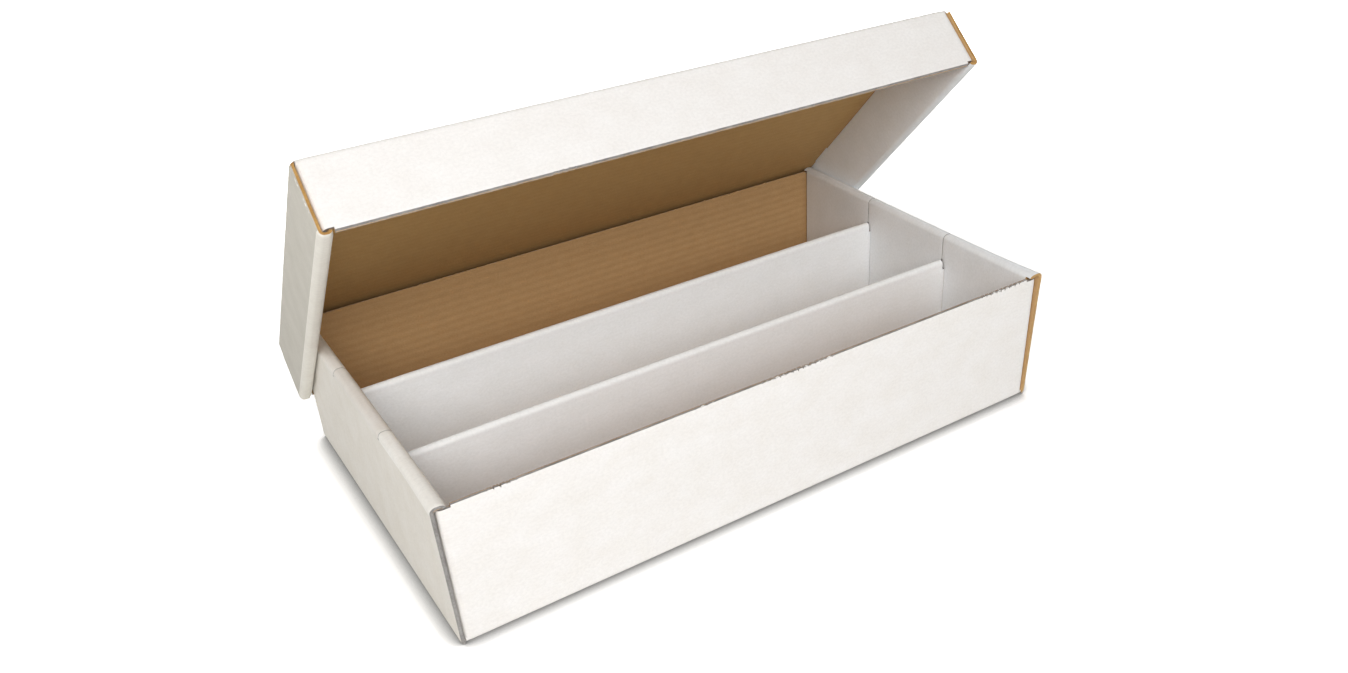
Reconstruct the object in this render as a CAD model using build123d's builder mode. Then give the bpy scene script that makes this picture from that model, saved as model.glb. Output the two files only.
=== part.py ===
"""Corrugated storage box: a tray with three long rows, two dividers and a separate full lid.

The tray and the lid are each folded from one sheet of board.  Both have the same build: a flat
panel, a front and a back wall that fold up from it, a tab at each corner, and two ends whose
sheet rolls over the corner tabs and comes down inside as flaps that lock into slots in the panel.
Every panel between two creases or slits is one solid.

The box's own frame has its origin under the middle of the tray, X along the rows, Y from the
front to the back and Z up.  The lid stands open: its panel leans on the back edge of the tray
and the free edge of its back lip bears against the tray's back wall.
"""

from build123d import *
from math import cos, radians, sin
import os

os.makedirs("parts", exist_ok=True)

# ---- the board -----------------------------------------------------------------------------
board = 3.2                       # thickness of B-flute board
bend_inside = 0.8                 # inside radius of a crease
bend_outside = bend_inside + board
crease_strip = bend_outside + 1   # flat reach of a crease before the next panel starts
slip = 0.3                        # gap between two panels that slide past each other

# ---- the tray ------------------------------------------------------------------------------
base_length = 495.0
base_width = 290.0
base_height = 110.0
base_wall_drop = 2.5              # how far the front and back walls stop below the rims
base_tab_reach = 58.0             # corner tab, from the wall's face to its free end

# ---- the dividers --------------------------------------------------------------------------
rows = 3
divider_top = 88.0                # height of the folded edge over the table
divider_ply_gap = 0.4             # air between the two plies of a folded divider
divider_tab_reach = 30.0          # end tab, from the middle of the divider
divider_tab_foot = bend_outside + 1
divider_tab_top = 80.0
divider_thickness = 2 * board + divider_ply_gap
row_width = (base_width - 2 * board - (rows - 1) * divider_thickness) / rows
row_pitch = row_width + divider_thickness
divider_lines = [-row_pitch / 2, row_pitch / 2]

# ---- the lid -------------------------------------------------------------------------------
lid_clearance = 1.0               # air between the tray and the closed lid, each side
lid_length = base_length + 2 * lid_clearance + 6 * board
lid_width = base_width + 2 * lid_clearance + 2 * board
lid_depth = 53.0
lid_wall_drop = 2.0
lid_tab_reach = 52.0
lid_opening_angle = 47.0          # how far the lid leans back from its closed, level place
lean_gap = 0.3                    # hair's breadth left where the lid bears on the tray

# ---- the roll-over ends --------------------------------------------------------------------
rim_width = 3 * board             # outer panel, tab and flap side by side
seam_half = 0.4                   # half of the slit between two flaps
lock_tab_width = 26.0
lock_tab_play = 0.4               # play of a lock tab in its slot
tab_clearance = 1.5               # corner tab's top, below the underside of the rim
tab_taper = 7.0                   # a corner tab narrows this much at each end of its free edge
foot_gap = 0.2                    # lock tabs stop this far inside the outer face


def save(piece, name, place):
    """Put a finished panel where it belongs, label it and write it."""
    panel = piece.part.moved(place)
    panel.label = name
    export_step(panel, f"parts/{name}.step")


def board_path(points, radius):
    """Section of a strip of board: its outer skin follows the points, the board to the left."""
    with BuildSketch() as strip:
        with BuildLine():
            FilletPolyline(*points, radius=radius)
            offset(amount=board, side=Side.LEFT)
        make_face()
    return strip.sketch


def flat_panel(length, width, lock_lines):
    """The sheet's middle panel, with a notch in each short edge for every lock tab."""
    half_length = length / 2 - crease_strip
    half_width = width / 2 - crease_strip
    notch_depth = rim_width + lock_tab_play - crease_strip
    with BuildPart() as panel:
        with BuildSketch(Plane.XY):
            Rectangle(2 * half_length, 2 * half_width)
            notches = [(side * (half_length - notch_depth / 2), y) for side in (-1, 1) for y in lock_lines]
            with Locations(*notches):
                Rectangle(notch_depth, lock_tab_width + 2 * lock_tab_play, mode=Mode.SUBTRACT)
        extrude(amount=board)
    return panel


def long_wall(length, width, height, drop, back):
    """Front or back wall: the crease at its foot and a crease towards each corner tab."""
    face = width / 2
    end = length / 2 - board
    top = height - drop
    rim_underside = height - bend_outside - foot_gap
    with BuildPart() as front:
        with BuildSketch(Plane.YZ):
            foot = [(-face, top), (-face, 0), (-face + crease_strip, 0)]
            add(board_path(foot, bend_outside))
        extrude(amount=length / 2 - crease_strip - bend_inside, both=True)
        with BuildSketch(Plane.XY.offset(bend_outside)):
            tab_start = -face + crease_strip
            tab_ends = [(-end, tab_start), (-end, -face), (end, -face), (end, tab_start)]
            add(board_path(tab_ends, bend_outside))
        extrude(amount=top - bend_outside)
        with BuildSketch(Plane.XZ.offset(face + 1)):
            under_rims = [(side * (end - rim_width / 2 + board), top) for side in (-1, 1)]
            with Locations(*under_rims):
                Rectangle(rim_width + 2 * slip, 2 * (top - rim_underside))
        extrude(amount=-2 * crease_strip, mode=Mode.SUBTRACT)
    if not back:
        return front
    with BuildPart() as rear:
        mirror(front.part, about=Plane.XZ)
    return rear


def corner_tab(length, width, height, reach, across, along):
    """Tab held between the outer panel and the flap; across and along pick the corner."""
    inner_face = length / 2 - 2 * board
    root = -width / 2 + crease_strip
    tip = -width / 2 + reach
    low = crease_strip + 1
    high = height - board - tab_clearance
    with BuildPart() as tab:
        with BuildSketch(Plane.YZ.offset(inner_face)):
            with BuildLine():
                Polyline((root, low), (tip, low + tab_taper), (tip, high - tab_taper), (root, high), close=True)
            make_face()
            fillet(vertices().group_by(Axis.X)[-1], radius=board)
        extrude(amount=board)
    if along > 0:
        with BuildPart() as tab_behind:
            mirror(tab.part, about=Plane.XZ)
        tab = tab_behind
    if across < 0:
        with BuildPart() as tab_left:
            mirror(tab.part, about=Plane.YZ)
        tab = tab_left
    return tab


def end_panel(length, width, height, across):
    """Outer ply of an end, with the crease at its foot; its top is where the rim starts to roll."""
    face = length / 2
    with BuildPart() as right:
        with BuildSketch(Plane.XZ):
            foot = [(face - crease_strip, 0), (face, 0), (face, height - crease_strip)]
            add(board_path(foot, bend_outside))
        extrude(amount=width / 2 - board, both=True)
        with BuildSketch(Plane.YZ.offset(face - board)):
            with Locations((0, (height - crease_strip + bend_outside) / 2)):
                Rectangle(width, height - crease_strip - bend_outside)
        extrude(amount=board)
    if across > 0:
        return right
    with BuildPart() as left:
        mirror(right.part, about=Plane.YZ)
    return left


def roll_over_flap(length, width, height, reach, dividers, lock_lines, across):
    """One flap: over the rim, down the inside and into the panel's slots.

    reach is the flap's two ends along Y.  Beside a divider the inner ply is cut back, so that
    the divider's end tabs pass behind it.
    """
    face = length / 2
    near, far = reach
    with BuildPart() as right:
        with BuildSketch(Plane.XZ.offset(-far)):
            roll = [(face, height - crease_strip), (face, height)]
            roll += [(face - rim_width, height), (face - rim_width, board)]
            add(board_path(roll, bend_outside))
        extrude(amount=far - near)
        # the inner ply stays between the long walls, while the rim runs out over them
        with BuildSketch(Plane.XY):
            with Locations((face - board - rim_width / 2, -width / 2), (face - board - rim_width / 2, width / 2)):
                Rectangle(rim_width, 2 * (bend_outside + slip))
        extrude(amount=height - board, mode=Mode.SUBTRACT)
        for line in dividers:
            with BuildSketch(Plane.XY):
                with Locations((face - rim_width, line)):
                    Rectangle(2 * (board + slip), divider_thickness + 2 * (bend_inside + slip))
            extrude(amount=divider_top + slip, mode=Mode.SUBTRACT)
        with BuildSketch(Plane.YZ.offset(face - rim_width)):
            for y in lock_lines:
                with Locations((y, (board + foot_gap) / 2 + 0.5)):
                    Rectangle(lock_tab_width, board - foot_gap + 1)
        extrude(amount=board)
    if across > 0:
        return right
    with BuildPart() as left:
        mirror(right.part, about=Plane.YZ)
    return left


def folded_tray(prefix, names, size, drop, tab_reach, dividers, place):
    """Every panel of a folded tray.  names gives the words for the tray's own parts."""
    length, width, height = size
    seams = [-width / 2] + dividers + [width / 2]
    gaps = [0] + [seam_half] * len(dividers) + [0]
    flaps = []
    for index in range(len(seams) - 1):
        flaps.append((seams[index] + gaps[index], seams[index + 1] - gaps[index + 1]))
    if dividers:
        lock_lines = [[(near + far) / 2] for near, far in flaps]
    else:
        lock_lines = [[-width / 4, width / 4]]
    all_locks = [y for group in lock_lines for y in group]

    save(flat_panel(length, width, all_locks), f"{prefix}_{names['panel']}", place)
    for back, along in ((False, "front"), (True, "back")):
        wall = long_wall(length, width, height, drop, back)
        save(wall, f"{prefix}_{along}_{names['wall']}", place)
    for across, side in ((1, names["right"]), (-1, names["left"])):
        save(end_panel(length, width, height, across), f"{prefix}_{side}_end", place)
        for back, along in ((-1, "front"), (1, "back")):
            tab = corner_tab(length, width, height, tab_reach, across, back)
            save(tab, f"{prefix}_{along}_{side}_tab", place)
        for reach, locks, word in zip(flaps, lock_lines, names["flaps"]):
            flap = roll_over_flap(length, width, height, reach, dividers, locks, across)
            save(flap, f"{prefix}_{side}_flap{word}", place)


def folded_divider(line):
    """A sheet folded double; each ply turns aside at both ends into a tab behind the flaps."""
    passage = base_length / 2 - rim_width - slip
    tab_face = base_length / 2 - board
    ply_inside = divider_ply_gap / 2
    with BuildPart() as divider:
        with BuildSketch(Plane.YZ) as section:
            with Locations((line, (board + divider_top) / 2)):
                Rectangle(divider_thickness, divider_top - board)
            fillet(vertices().group_by(Axis.Y)[-1], radius=divider_thickness / 2 - 0.05)
            with Locations((line, divider_top / 2)):
                Rectangle(divider_ply_gap, divider_top - 2 * board, mode=Mode.SUBTRACT)
        extrude(amount=passage, both=True)
        with BuildSketch(Plane.XY.offset(divider_tab_foot)):
            for across in (-1, 1):
                for side in (-1, 1):
                    start = (across * (passage - board), line + side * ply_inside)
                    corner = (across * tab_face, line + side * ply_inside)
                    tip = (across * tab_face, line + side * divider_tab_reach)
                    points = [start, corner, tip]
                    if across != side:
                        points.reverse()
                    add(board_path(points, bend_outside))
        extrude(amount=divider_tab_top - divider_tab_foot)
    return divider


# ---- the tray and its dividers stand on the table --------------------------------------------
base_names = {
    "panel": "floor",
    "wall": "wall",
    "left": "left",
    "right": "right",
    "flaps": ["_front", "_middle", "_back"],
}
base_size = (base_length, base_width, base_height)
folded_tray("base", base_names, base_size, base_wall_drop, base_tab_reach, divider_lines, Location())

for divider_name, divider_line in zip(("front_divider", "back_divider"), divider_lines):
    save(folded_divider(divider_line), divider_name, Location())

# ---- the lid is the same tray turned over, leaning on the back of the first -------------------
# It is worked out in the plane across the box: the lid's panel passes a hair behind the tray's
# top back corner, and the free edge of its back lip stands a hair behind the back wall.
lean_sin = sin(radians(lid_opening_angle))
lean_cos = cos(radians(lid_opening_angle))
lip_reach = lid_depth - lid_wall_drop - board
along_panel = (lean_gap + (lip_reach - lean_gap) * lean_sin) / lean_cos
back_corner = Vector(0, base_width / 2, base_height)
down_panel = Vector(0, lean_cos, -lean_sin)
into_lid = Vector(0, -lean_sin, -lean_cos)
lid_inside_corner = back_corner + down_panel * along_panel - into_lid * lean_gap
lid_origin = lid_inside_corner - down_panel * (lid_width / 2 - board) - into_lid * board
lid_plane = Plane(origin=lid_origin, x_dir=(-1, 0, 0), z_dir=into_lid)

lid_names = {"panel": "top", "wall": "lip", "left": "right", "right": "left", "flaps": [""]}
lid_size = (lid_length, lid_width, lid_depth)
folded_tray("lid", lid_names, lid_size, lid_wall_drop, lid_tab_reach, [], lid_plane.location)
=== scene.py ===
# %% [markdown]
# # A folded storage box, built the way a box maker builds it
# The object is a long tray with three rows, two dividers and a full lid that leans open
# on the tray's back edge. Every part of it is a panel of one of four sheets of corrugated board:
# a white paper outside, a brown paper inside, and a wavy paper glued between the two.
# The lesson makes that board once, as a recipe in Geometry Nodes, and then folds panel after
# panel from it. A thick box with a texture of waves would be quicker, but the cut edges of real
# board show the wave itself, so here the wave is a shape.

# %% Load the fixed frame
import math
from collections import Counter

import bpy
from mathutils import Matrix, Vector, kdtree


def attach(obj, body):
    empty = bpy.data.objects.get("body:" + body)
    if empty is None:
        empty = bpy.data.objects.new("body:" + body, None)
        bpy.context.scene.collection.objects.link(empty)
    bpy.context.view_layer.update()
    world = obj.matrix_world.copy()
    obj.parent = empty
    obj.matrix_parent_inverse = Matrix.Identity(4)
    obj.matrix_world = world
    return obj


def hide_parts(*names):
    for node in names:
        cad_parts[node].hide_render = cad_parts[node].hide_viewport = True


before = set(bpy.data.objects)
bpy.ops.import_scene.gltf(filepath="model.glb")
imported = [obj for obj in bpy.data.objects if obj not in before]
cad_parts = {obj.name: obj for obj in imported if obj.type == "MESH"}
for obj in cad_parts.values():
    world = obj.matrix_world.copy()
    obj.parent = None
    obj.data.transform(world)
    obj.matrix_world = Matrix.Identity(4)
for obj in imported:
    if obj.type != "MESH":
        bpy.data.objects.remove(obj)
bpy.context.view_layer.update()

MM = 0.001

# %% [markdown]
# ## The camera
# The photograph looks down on the box from its left front corner. The camera's place, turn and
# lens were found by matching the tray's corners and long edges, so they are written as numbers.
# The small shift stands for the picture having been cropped off centre.

# %% Camera
lens_data = bpy.data.cameras.new("product_camera")
lens_data.sensor_width = 36.0
lens_data.sensor_fit = "HORIZONTAL"
lens_data.lens = 31.384
lens_data.shift_x = -0.039
lens_data.shift_y = 0.0019
camera = bpy.data.objects.new("product_camera", lens_data)
camera.location = (-0.3931, -0.7038, 0.5313)
camera.rotation_euler = [math.radians(turn) for turn in (60.101, 2.134, -33.487)]
bpy.context.scene.collection.objects.link(camera)
bpy.context.scene.camera = camera
print("camera is", round(camera.location.length, 3), "m from the middle of the tray's underside")

# %% [markdown]
# ## Small helpers for nodes
# Each finish and each recipe is a node tree. Wiring nodes by hand in code is wordy, so a few
# short helpers add a node with its settings, link its inputs or set plain values on them, and
# name the sums and mixes that come again and again.

# %% Node helpers
def put(tree, socket, value):
    """Link an output to a socket, or set a plain value on it."""
    if isinstance(value, bpy.types.NodeSocket):
        tree.links.new(value, socket)
    else:
        socket.default_value = value


def add_node(tree, kind, inputs=None, **settings):
    """Add a node; inputs are put on its sockets by name or number."""
    node = tree.nodes.new(kind)
    for name, value in settings.items():
        setattr(node, name, value)
    for name, value in (inputs or {}).items():
        put(tree, node.inputs[name], value)
    return node


def maths(tree, operation, *terms):
    """The result of a Math node."""
    return add_node(tree, "ShaderNodeMath", dict(enumerate(terms)), operation=operation).outputs[0]


def mapped(tree, value, given=(0.0, 1.0), wanted=(0.0, 1.0)):
    """A number moved from one range into another."""
    inputs = {"Value": value, "From Min": given[0], "From Max": given[1],
              "To Min": wanted[0], "To Max": wanted[1]}
    return add_node(tree, "ShaderNodeMapRange", inputs).outputs[0]


def noise(tree, place, scale, detail, roughness=0.5):
    """Soft noise between 0 and 1; scale counts its grains in a metre."""
    inputs = {"Vector": place, "Scale": scale, "Detail": detail, "Roughness": roughness}
    return add_node(tree, "ShaderNodeTexNoise", inputs).outputs["Fac"]


def blended(tree, share, first, second, **settings):
    """A colour mixed from two."""
    inputs = {0: share, 6: first, 7: second}
    return add_node(tree, "ShaderNodeMix", inputs, data_type="RGBA", **settings).outputs[2]


def srgb(red, green, blue):
    """A colour as a picture editor names it, turned into the linear values a shader wants."""
    def linear(part):
        part = part / 255
        return part / 12.92 if part <= 0.04045 else ((part + 0.055) / 1.055) ** 2.4
    return (linear(red), linear(green), linear(blue), 1.0)


print("white paper in linear values:", [round(part, 3) for part in srgb(240, 238, 233)[:3]])


# %% Material helpers
def fresh_material(name):
    """An empty material with its output and one Principled shader."""
    material = bpy.data.materials.new(name)
    material.use_nodes = True
    tree = material.node_tree
    tree.nodes.clear()
    output = add_node(tree, "ShaderNodeOutputMaterial")
    shader = add_node(tree, "ShaderNodeBsdfPrincipled")
    put(tree, output.inputs["Surface"], shader.outputs["BSDF"])
    return material, tree, shader


def seen_rays(tree):
    """1 for what the camera or a reflection sees, 0 for the light that falls on things."""
    path = add_node(tree, "ShaderNodeLightPath").outputs
    direct = maths(tree, "MAXIMUM", path["Is Camera Ray"], path["Is Glossy Ray"])
    return maths(tree, "MAXIMUM", direct, path["Is Transmission Ray"])


def matt_paper(tree, shader, colour, grain, roughness, gloss, bump, depth):
    """Colour, dullness and relief of a paper; its grain gives the relief."""
    inputs = {"Height": grain, "Strength": bump, "Distance": depth}
    relief = add_node(tree, "ShaderNodeBump", inputs)
    for name, value in (("Base Color", colour), ("Roughness", roughness),
                        ("Specular IOR Level", gloss), ("Normal", relief.outputs[0])):
        put(tree, shader.inputs[name], value)


print("ready to mix finishes")

# %% [markdown]
# ## Floor, background and light
# The photograph is a cut-out on pure white with a soft grey shadow. A plain floor catches the
# shadow. Only what the camera and reflections see of it is lifted to white, through Light Path,
# so no extra light reaches the box. Where the box meets the floor, Ambient Occlusion darkens
# that seen colour: a painted contact shadow. One large soft lamp stands in front, above and a
# little to the left, and a wider one beside it is just low enough to reach under the lid and just
# high enough to reach over the front wall onto the dividers. Two more light the left ends and the
# back.

# %% Floor
floor_size = 7.0
half = floor_size / 2
floor_corners = [(-half, -half, 0), (half, -half, 0), (half, half, 0), (-half, half, 0)]
floor_mesh = bpy.data.meshes.new("studio_floor")
floor_mesh.from_pydata(floor_corners, [], [(0, 1, 2, 3)])
floor = bpy.data.objects.new("studio_floor", floor_mesh)
bpy.context.scene.collection.objects.link(floor)

floor_paint, shadow_lift = 0.80, 1.75
floor_finish, tree, shader = fresh_material("pale_studio_floor")
# painted contact shadow: the floor's seen colour is darkened near the box by Ambient Occlusion
near_box = add_node(tree, "ShaderNodeAmbientOcclusion", {"Distance": 0.024}, samples=16)
painted_contact_shadow = mapped(tree, near_box.outputs["AO"], (0.48, 0.97), (0.20, 1.0))
shaded = maths(tree, "MULTIPLY", painted_contact_shadow, shadow_lift)
# the lamps fade with distance, so what is seen of the floor is lifted more the farther it lies
spot = add_node(tree, "ShaderNodeTexCoord")
away = add_node(tree, "ShaderNodeVectorMath", {0: spot.outputs["Object"]}, operation="LENGTH")
farther = mapped(tree, away.outputs["Value"], (0.5, 3.5), (1.0, 10.0))
evened = maths(tree, "MULTIPLY", shaded, farther)
level = add_node(tree, "ShaderNodeMix", {0: seen_rays(tree), 2: floor_paint, 3: evened},
                 data_type="FLOAT")
put(tree, shader.inputs["Base Color"], level.outputs[0])
put(tree, shader.inputs["Roughness"], 0.9)
put(tree, shader.inputs["Specular IOR Level"], 0.0)
floor_mesh.materials.append(floor_finish)
print("floor is", floor_size, "m wide")

# %% World
world = bpy.data.worlds.new("white_studio")
bpy.context.scene.world = world
world.use_nodes = True
tree = world.node_tree
tree.nodes.clear()
room_light = {"Color": (1.0, 0.985, 0.955, 1), "Strength": 0.26}
soft = add_node(tree, "ShaderNodeBackground", room_light).outputs[0]
plain_white = {"Color": (1, 1, 1, 1), "Strength": 1.0}
plain = add_node(tree, "ShaderNodeBackground", plain_white).outputs[0]
sky = add_node(tree, "ShaderNodeMixShader", {0: seen_rays(tree), 1: soft, 2: plain})
add_node(tree, "ShaderNodeOutputWorld", {"Surface": sky.outputs[0]})
bpy.context.scene.view_settings.view_transform = "Standard"
print("room light:", room_light["Strength"])


# %% Lamps
def soft_lamp(name, way, distance, size, power, colour=(1.0, 0.99, 0.98)):
    """A round soft lamp that looks at the middle of the box."""
    data = bpy.data.lights.new(name, "AREA")
    data.shape = "DISK"
    data.size = size
    data.energy = power
    data.color = colour
    lamp = bpy.data.objects.new(name, data)
    way = Vector(way).normalized()
    lamp.location = way * distance
    lamp.rotation_euler = way.to_track_quat("Z", "Y").to_euler()
    bpy.context.scene.collection.objects.link(lamp)
    print(name, "stands at", [round(part, 2) for part in lamp.location])


soft_lamp("soft_key_lamp", (-0.46, -0.60, 0.65), 1.7, 1.2, 14.0)
soft_lamp("high_fill_lamp", (-0.10, -0.82, 0.57), 2.6, 2.0, 21.0)
soft_lamp("soft_side_lamp", (-0.85, -0.05, 0.52), 2.4, 1.8, 5.0, (0.98, 0.99, 1.0))
soft_lamp("soft_back_lamp", (0.35, 0.78, 0.52), 3.2, 2.2, 26.0)

# %% [markdown]
# ## Paper finishes
# Board is three papers, and each has its own look. The outside is a matt white liner: near white
# with a faint warm cloudiness and a fine felt of fibres. The inside is a brown kraft liner with
# long fibres and a faint band over each flute, where glue has soaked in. The wave between them
# is a rougher brown paper.
# All three patterns follow the sheet, not the space around it, so they read an attribute called
# blank. It holds each point's place on the flat sheet before folding, in metres, and a pattern
# laid on it runs round the folds without a break.

# %% Size of the flutes
flute_pitch = 6.55 * MM           # from one crest of the wave to the next
print("flutes on the front wall:", round(110 * MM / flute_pitch, 1))


# %% White liner
def on_sheet(tree, stretch):
    """The place on the flat sheet, and the same place stretched for a long grain."""
    flat = add_node(tree, "ShaderNodeAttribute", attribute_name="blank").outputs["Vector"]
    return flat, add_node(tree, "ShaderNodeMapping", {"Vector": flat, "Scale": stretch}).outputs[0]


def white_liner(name, tone, shade):
    """Matt white paper; tone is its colour, shade the colour of its faint clouds."""
    material, tree, shader = fresh_material(name)
    _, place = on_sheet(tree, (1.0, 1.25, 1.0))
    clouds = mapped(tree, noise(tree, place, 42.0, 5.0, 0.62), (0.34, 0.68))
    clouded = blended(tree, clouds, srgb(*tone), srgb(*shade))
    felt = noise(tree, place, 430.0, 4.0, 0.7)
    speckles = mapped(tree, felt, (0.36, 0.64), (0.93, 1.0))
    speckled = blended(tree, 1.0, clouded, speckles, blend_type="MULTIPLY")

    # each crease is blended a little towards a darker beige
    crease = add_node(tree, "ShaderNodeAttribute", attribute_name="crease").outputs["Fac"]
    crease_darkened = blended(tree, maths(tree, "MULTIPLY", crease, 0.10), speckled, srgb(196, 190, 178))
    roughness = mapped(tree, felt, wanted=(0.62, 0.86))
    matt_paper(tree, shader, crease_darkened, felt, roughness, gloss=0.28, bump=0.22, depth=0.2 * MM)
    return material


white_paper = white_liner("white_liner", (243, 241, 239), (239, 236, 232))
lid_white_paper = white_liner("white_liner_lid", (240, 238, 236), (236, 233, 230))
# a cooler copy of the white liner for the right flaps, toned against the brown light bounced inside
# the tray: painted light
rolled_paper_painted_light = white_liner("white_liner_rolled_painted_light", (238, 241, 244), (233, 236, 238))
# a greyer copy for the left middle and back flaps, where the leaning lid shades the rim: painted
# shade
rim_paper_painted_shade = white_liner("white_liner_rim_painted_shade", (234, 230, 224), (228, 223, 215))
lid_rim_paper = white_liner("white_liner_lid_rim", (240, 237, 228), (234, 230, 220))
# a bright bluish copy for the lid's right flap, against the brown light bounced inside the lid:
# painted light
lid_inner_paper_painted_light = white_liner("white_liner_lid_inner_painted_light", (245, 249, 253), (240, 244, 247))
# a brighter copy for the left front flap, whose rim lies in full light: painted light
left_rim_paper_painted_light = white_liner("white_liner_left_rim_painted_light", (247, 245, 240), (242, 239, 232))
# a brighter, bluish copy for the dividers, which stand in shade and brown bounced light inside the
# tray: painted light
divider_paper_painted_light = white_liner("white_liner_divider_painted_light", (249, 251, 253), (245, 247, 248))
# a darker, warmer copy for the tray's end faces, which turn away from the lamps: painted shade
tray_end_paper_painted_shade = white_liner("white_liner_tray_end_painted_shade", (233, 229, 221), (227, 222, 212))
# a much darker copy for the lid's end faces, which lie in shade: painted shade
lid_end_paper_painted_shade = white_liner("white_liner_lid_end_painted_shade", (204, 200, 190), (196, 192, 181))
print("white papers:", white_paper.name, rolled_paper_painted_light.name, divider_paper_painted_light.name)


# %% Kraft liner
def kraft_liner(name, light, dark, band_depth):
    """Brown paper with long fibres along the flutes and a faint band over each flute."""
    material, tree, shader = fresh_material(name)
    flat, along = on_sheet(tree, (0.75, 1.0, 1.0))
    fibres = noise(tree, along, 900.0, 5.0, 0.72)
    fine = maths(tree, "MULTIPLY", fibres, 0.78)
    mottle = maths(tree, "MULTIPLY_ADD", noise(tree, along, 130.0, 4.0), 0.22, fine)

    across = add_node(tree, "ShaderNodeSeparateXYZ", {"Vector": flat}).outputs["Y"]
    wave = maths(tree, "SINE", maths(tree, "MULTIPLY", across, 2 * math.pi / flute_pitch))
    banded = mapped(tree, maths(tree, "MULTIPLY_ADD", wave, band_depth, mottle), (0.33, 0.67))
    colour = blended(tree, banded, srgb(*dark), srgb(*light))
    roughness = mapped(tree, fibres, wanted=(0.66, 0.90))
    matt_paper(tree, shader, colour, fibres, roughness, gloss=0.22, bump=0.30, depth=0.2 * MM)
    return material


kraft_paper = kraft_liner("kraft_liner", (204, 167, 121), (186, 149, 103), 0.04)
lid_kraft_paper = kraft_liner("kraft_liner_lid", (198, 162, 110), (180, 144, 92), 0.03)
# a greyed copy of the kraft liner for the left end's inside, so the groove at the left front corner
# reads grey: painted shade
greyed_kraft_paper_painted_shade = kraft_liner("kraft_liner_greyed_painted_shade", (196, 192, 186), (168, 163, 156), 0.02)
fluting_paper = kraft_liner("fluting_paper", (196, 156, 104), (158, 118, 70), 0.0)
print("brown papers:", kraft_paper.name, fluting_paper.name)

# %% [markdown]
# ## Cut edges
# Where a die has cut the board, the papers show their thickness. On the right end and the lid's
# ends the cut is fresh and tan. Along the long walls and on the left end it is grey.
# All are the same fibrous pattern in a few tones.

# %% Cut edge finishes
def cut_edge(name, light, dark):
    """Torn fibre ends: a coarse, streaky noise between two tones."""
    material, tree, shader = fresh_material(name)
    place = add_node(tree, "ShaderNodeTexCoord").outputs["Object"]
    fray = noise(tree, place, 700.0, 4.0, 0.75)
    torn = mapped(tree, maths(tree, "ADD", fray, noise(tree, place, 90.0, 2.0)), (0.72, 1.28))
    colour = blended(tree, torn, srgb(*dark), srgb(*light))
    matt_paper(tree, shader, colour, fray, roughness=0.92, gloss=0.15, bump=0.5, depth=0.3 * MM)
    return material


tan_edge = cut_edge("tan_cut_edge", (208, 174, 122), (172, 134, 86))
lid_edge = cut_edge("lid_cut_edge", (198, 158, 98), (158, 118, 68))
grey_edge = cut_edge("grey_cut_edge", (172, 170, 168), (130, 127, 124))
print("cut edges:", tan_edge.name, lid_edge.name, grey_edge.name)

# %% [markdown]
# ## The recipe for corrugated board
# A folded panel arrives here as a thin surface through the middle of the board. Each of its
# points knows which way is outside (outward), where it lay on the flat sheet (blank), and how
# near it is to a cut (cut). The recipe then lays three papers around that surface:
# the outside liner, a wave whose height is a sine of the place across the flutes, and the inside
# liner. Both liners dip a hair between the crests, which is what makes real board look faintly
# ribbed. Near a cut the die has squeezed the board, so the papers draw together.
# Along a cut that runs with the flutes there is no wave to see, only its crushed side, so a
# narrow strip of crushed paper fills that edge.
# Geometry Nodes suit this well: one tree serves 28 panels, and its sizes are named inputs.

# %% Helpers for recipes
def recipe(name, inputs, output):
    """A tree with named inputs, its given values, and a way to hand over its result."""
    tree = bpy.data.node_groups.new(name, "GeometryNodeTree")
    for label, kind in inputs.items():
        tree.interface.new_socket(label, in_out="INPUT", socket_type=f"NodeSocket{kind}")
    tree.interface.new_socket(output, in_out="OUTPUT", socket_type="NodeSocketGeometry")
    given = add_node(tree, "NodeGroupInput").outputs
    return tree, given, add_node(tree, "NodeGroupOutput").inputs[0]


def stored(tree, name, kind):
    """An attribute that the surface carries."""
    node = add_node(tree, "GeometryNodeInputNamedAttribute", {"Name": name}, data_type=kind)
    return node.outputs["Attribute"]


def scaled(tree, vector, factor):
    inputs = {0: vector, "Scale": factor}
    return add_node(tree, "ShaderNodeVectorMath", inputs, operation="SCALE").outputs[0]


def moved(tree, geometry, offset, selection=True):
    inputs = {"Geometry": geometry, "Selection": selection, "Offset": offset}
    return add_node(tree, "GeometryNodeSetPosition", inputs).outputs[0]


def finished_with(tree, geometry, finish, selection=True):
    inputs = {"Geometry": geometry, "Selection": selection, "Material": finish}
    return add_node(tree, "GeometryNodeSetMaterial", inputs).outputs[0]


def joined(tree, parts):
    join = add_node(tree, "GeometryNodeJoinGeometry")
    for part in parts:
        tree.links.new(part, join.inputs[0])
    return join.outputs[0]


def realized(tree, geometry):
    return add_node(tree, "GeometryNodeRealizeInstances", {"Geometry": geometry}).outputs[0]


print("ready to write recipes")


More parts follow.
